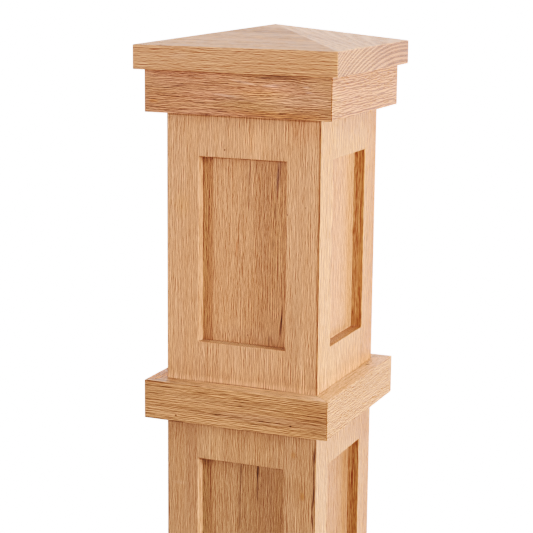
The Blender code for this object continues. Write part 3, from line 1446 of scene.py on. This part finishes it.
# Each board's cut of oak. Its place in this list gives its part of the tree
CUTS: dict[str, OakFinish] = {
    "cap": replace(
        LEVEL_OAK,
        pith=(-0.4, -0.18),
        ring_width=0.0034,
        crowding=1000.0,
        end_figure=0.65,
        fibre=1.0,
        fibre_size=(0.007, 0.0008, 0.002),
        pores=0.15,
        waviness=0.002,
        planed=(1.0, 1.05, 1.03),
        planed_fibre=0.45,
        hues=(0.88, 1.06, 1.14),
        body=(0.541, 0.249, 0.134),
    ),
    "frieze_front": replace(
        LEVEL_OAK,
        body=(0.455, 0.206, 0.102),
        flush=(1.0, 0.92, 1.06),
        pores=0.5,
        pore_size=(0.018, 0.0008),
    ),
    "frieze_right": replace(
        LEVEL_OAK,
        body=(0.42, 0.152, 0.053),
        fibre=4.1,
        fibre_size=(0.016, 0.0009, 0.0009),
        waviness=0.0015,
        hues=(0.7, 1.0, 1.83),
    ),
    "frieze_back": replace(LEVEL_OAK, body=(0.5, 0.228, 0.124)),
    "frieze_left": replace(LEVEL_OAK, body=(0.51, 0.232, 0.126), fibre=3.0),
    "collar_front": replace(
        LEVEL_OAK,
        body=(0.455, 0.22, 0.118),
        fibre=2.8,
        fibre_size=(0.014, 0.0005, 0.0005),
        waviness=0.0014,
        pores=0.5,
        pore_size=(0.022, 0.0007),
        # Painted light on the collar's top, in place of light from overhead
        planed=(1.5, 1.6, 1.75),
        sheen=0.25,
    ),
    "collar_right": replace(
        LEVEL_OAK,
        body=(0.484, 0.214, 0.094),
        fibre=2.3,
        fibre_size=(0.0045, 0.0007, 0.0006),
        pores=0.2,
        pore_size=(0.004, 0.0007),
        drift=0.1,
        figure=0.03,
        hues=(0.75, 1.06, 1.32),
        # Painted light on the collar's top, in place of light from overhead
        planed=(1.85, 2.05, 2.6),
        planed_fibre=0.3,
        sheen=0.25,
    ),
    "collar_back": replace(LEVEL_OAK, body=(0.5, 0.236, 0.126), fibre=3.0),
    "collar_left": replace(
        LEVEL_OAK,
        body=(0.47, 0.218, 0.114),
        # Painted shade on the collar's top, against the backdrop's reflection
        planed=(1.08, 0.8, 0.55),
        sheen=0.25,
    ),
    "plinth_front": replace(LEVEL_OAK, body=(0.46, 0.216, 0.112), fibre=2.8),
    "plinth_right": replace(LEVEL_OAK, body=(0.5, 0.245, 0.132), fibre=2.2),
    "plinth_back": replace(LEVEL_OAK, body=(0.49, 0.232, 0.124), fibre=2.8),
    "plinth_left": replace(LEVEL_OAK, body=(0.47, 0.22, 0.116), fibre=2.8),
    "upper_shaft_front": replace(
        UPRIGHT_OAK,
        body=(0.574, 0.266, 0.147),
        # Painted light on the sides of the upper windows
        planed=(1.14, 1.16, 1.17),
    ),
    "lower_shaft_front": replace(
        UPRIGHT_OAK,
        body=(0.44, 0.211, 0.113),
        # Painted light on the sides of the lower windows, where the right lamp falls
        planed=(1.6, 1.65, 1.73),
    ),
    "upper_shaft_right": replace(RIFT_OAK, body=(0.56, 0.238, 0.094)),
    "lower_shaft_right": replace(RIFT_OAK, body=(0.512, 0.23, 0.099)),
    "upper_shaft_back": replace(UPRIGHT_OAK, body=(0.58, 0.27, 0.146)),
    "lower_shaft_back": replace(UPRIGHT_OAK, body=(0.49, 0.232, 0.124)),
    "upper_shaft_left": replace(UPRIGHT_OAK, body=(0.59, 0.276, 0.15), fibre=2.0),
    "lower_shaft_left": replace(UPRIGHT_OAK, body=(0.47, 0.224, 0.12)),
    "upper_panel_front": replace(UPRIGHT_OAK, body=(0.57, 0.256, 0.136), fibre=3.8),
    "lower_panel_front": replace(UPRIGHT_OAK, body=(0.411, 0.198, 0.104), fibre=3.9),
    "upper_panel_right": replace(RIFT_OAK, body=(0.59, 0.248, 0.119)),
    "lower_panel_right": replace(RIFT_OAK, body=(0.454, 0.184, 0.081)),
    "upper_panel_back": replace(UPRIGHT_OAK, body=(0.55, 0.248, 0.132), fibre=2.8),
    "lower_panel_back": replace(UPRIGHT_OAK, body=(0.45, 0.21, 0.11), fibre=2.8),
    "upper_panel_left": replace(UPRIGHT_OAK, body=(0.54, 0.246, 0.131), fibre=2.4),
    "lower_panel_left": replace(UPRIGHT_OAK, body=(0.46, 0.215, 0.113), fibre=2.4),
}


def timber() -> dict[str, OakFinish]:
    """Gives each cut of oak its name, its part of the tree and its marks.

    Returns:
        The finishes, by the board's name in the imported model. A shaft board has two.
    """
    return {
        board: replace(
            cut,
            name=f"Oak {board.replace('_', ' ')}",
            seed=3.0 + 2.0 * number,
            marks=MARKS.get(board, ()),
        )
        for number, (board, cut) in enumerate(CUTS.items())
    }


def shaft_of(oak: dict[str, OakFinish]) -> Shaft:
    """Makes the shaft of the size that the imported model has.

    Args:
        oak: The cuts of oak, by the board's name.

    Returns:
        The shaft.
    """
    low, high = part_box("shaft_front")
    collar_low, collar_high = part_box("collar_front")
    panels = [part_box(f"{level}_panel_front") for level in LEVELS]
    return Shaft(
        low,
        high,
        half_window=panels[-1][1].x + FIT_GAP,
        windows=tuple((bottom.z - FIT_GAP, top.z + FIT_GAP) for bottom, top in panels),
        joint=(collar_low.z + collar_high.z) / 2,
        easing=BOARD_EASING,
        timber=oak,
    )


def main() -> None:
    """Builds the post and its studio."""
    logging.basicConfig(level=logging.INFO, format="%(message)s")
    View(
        azimuth=22.562,
        elevation=11.317,
        roll=0.569,
        distance=1.6192,
        target=Vector((-0.006, -0.0025, 1.17812)),
        lens=108.61,
    ).set_up()

    workshop = Workshop()
    oak = timber()
    Cap(*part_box("cap"), CAP_EDGE, CAP_EASING, oak["cap"]).place(workshop)
    for kind in ("frieze", "collar", "plinth"):
        finishes = {side: oak[f"{kind}_{side.label}"] for side in Side}
        StripRing(kind, *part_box(f"{kind}_front"), STRIP_EASING, finishes).place(workshop)
    shaft_of(oak).place(workshop)

    Studio(
        aim=Vector((0.0, 0.0, 1.15)),
        lamps=(
            Lamp("left lamp", azimuth=-45.0, elevation=12.0, distance=2.6, size=0.06, light=0.434),
            Lamp("right lamp", azimuth=75.0, elevation=10.0, distance=3.0, size=0.72, light=1.04),
        ),
        ambient=0.46,
        backdrop=2.90,
        overhead=0.20,
        white=1.77,
        floor_radius=2.0,
        floor_grey=0.85,
    ).set_up()


if __name__ == "__main__":
    main()
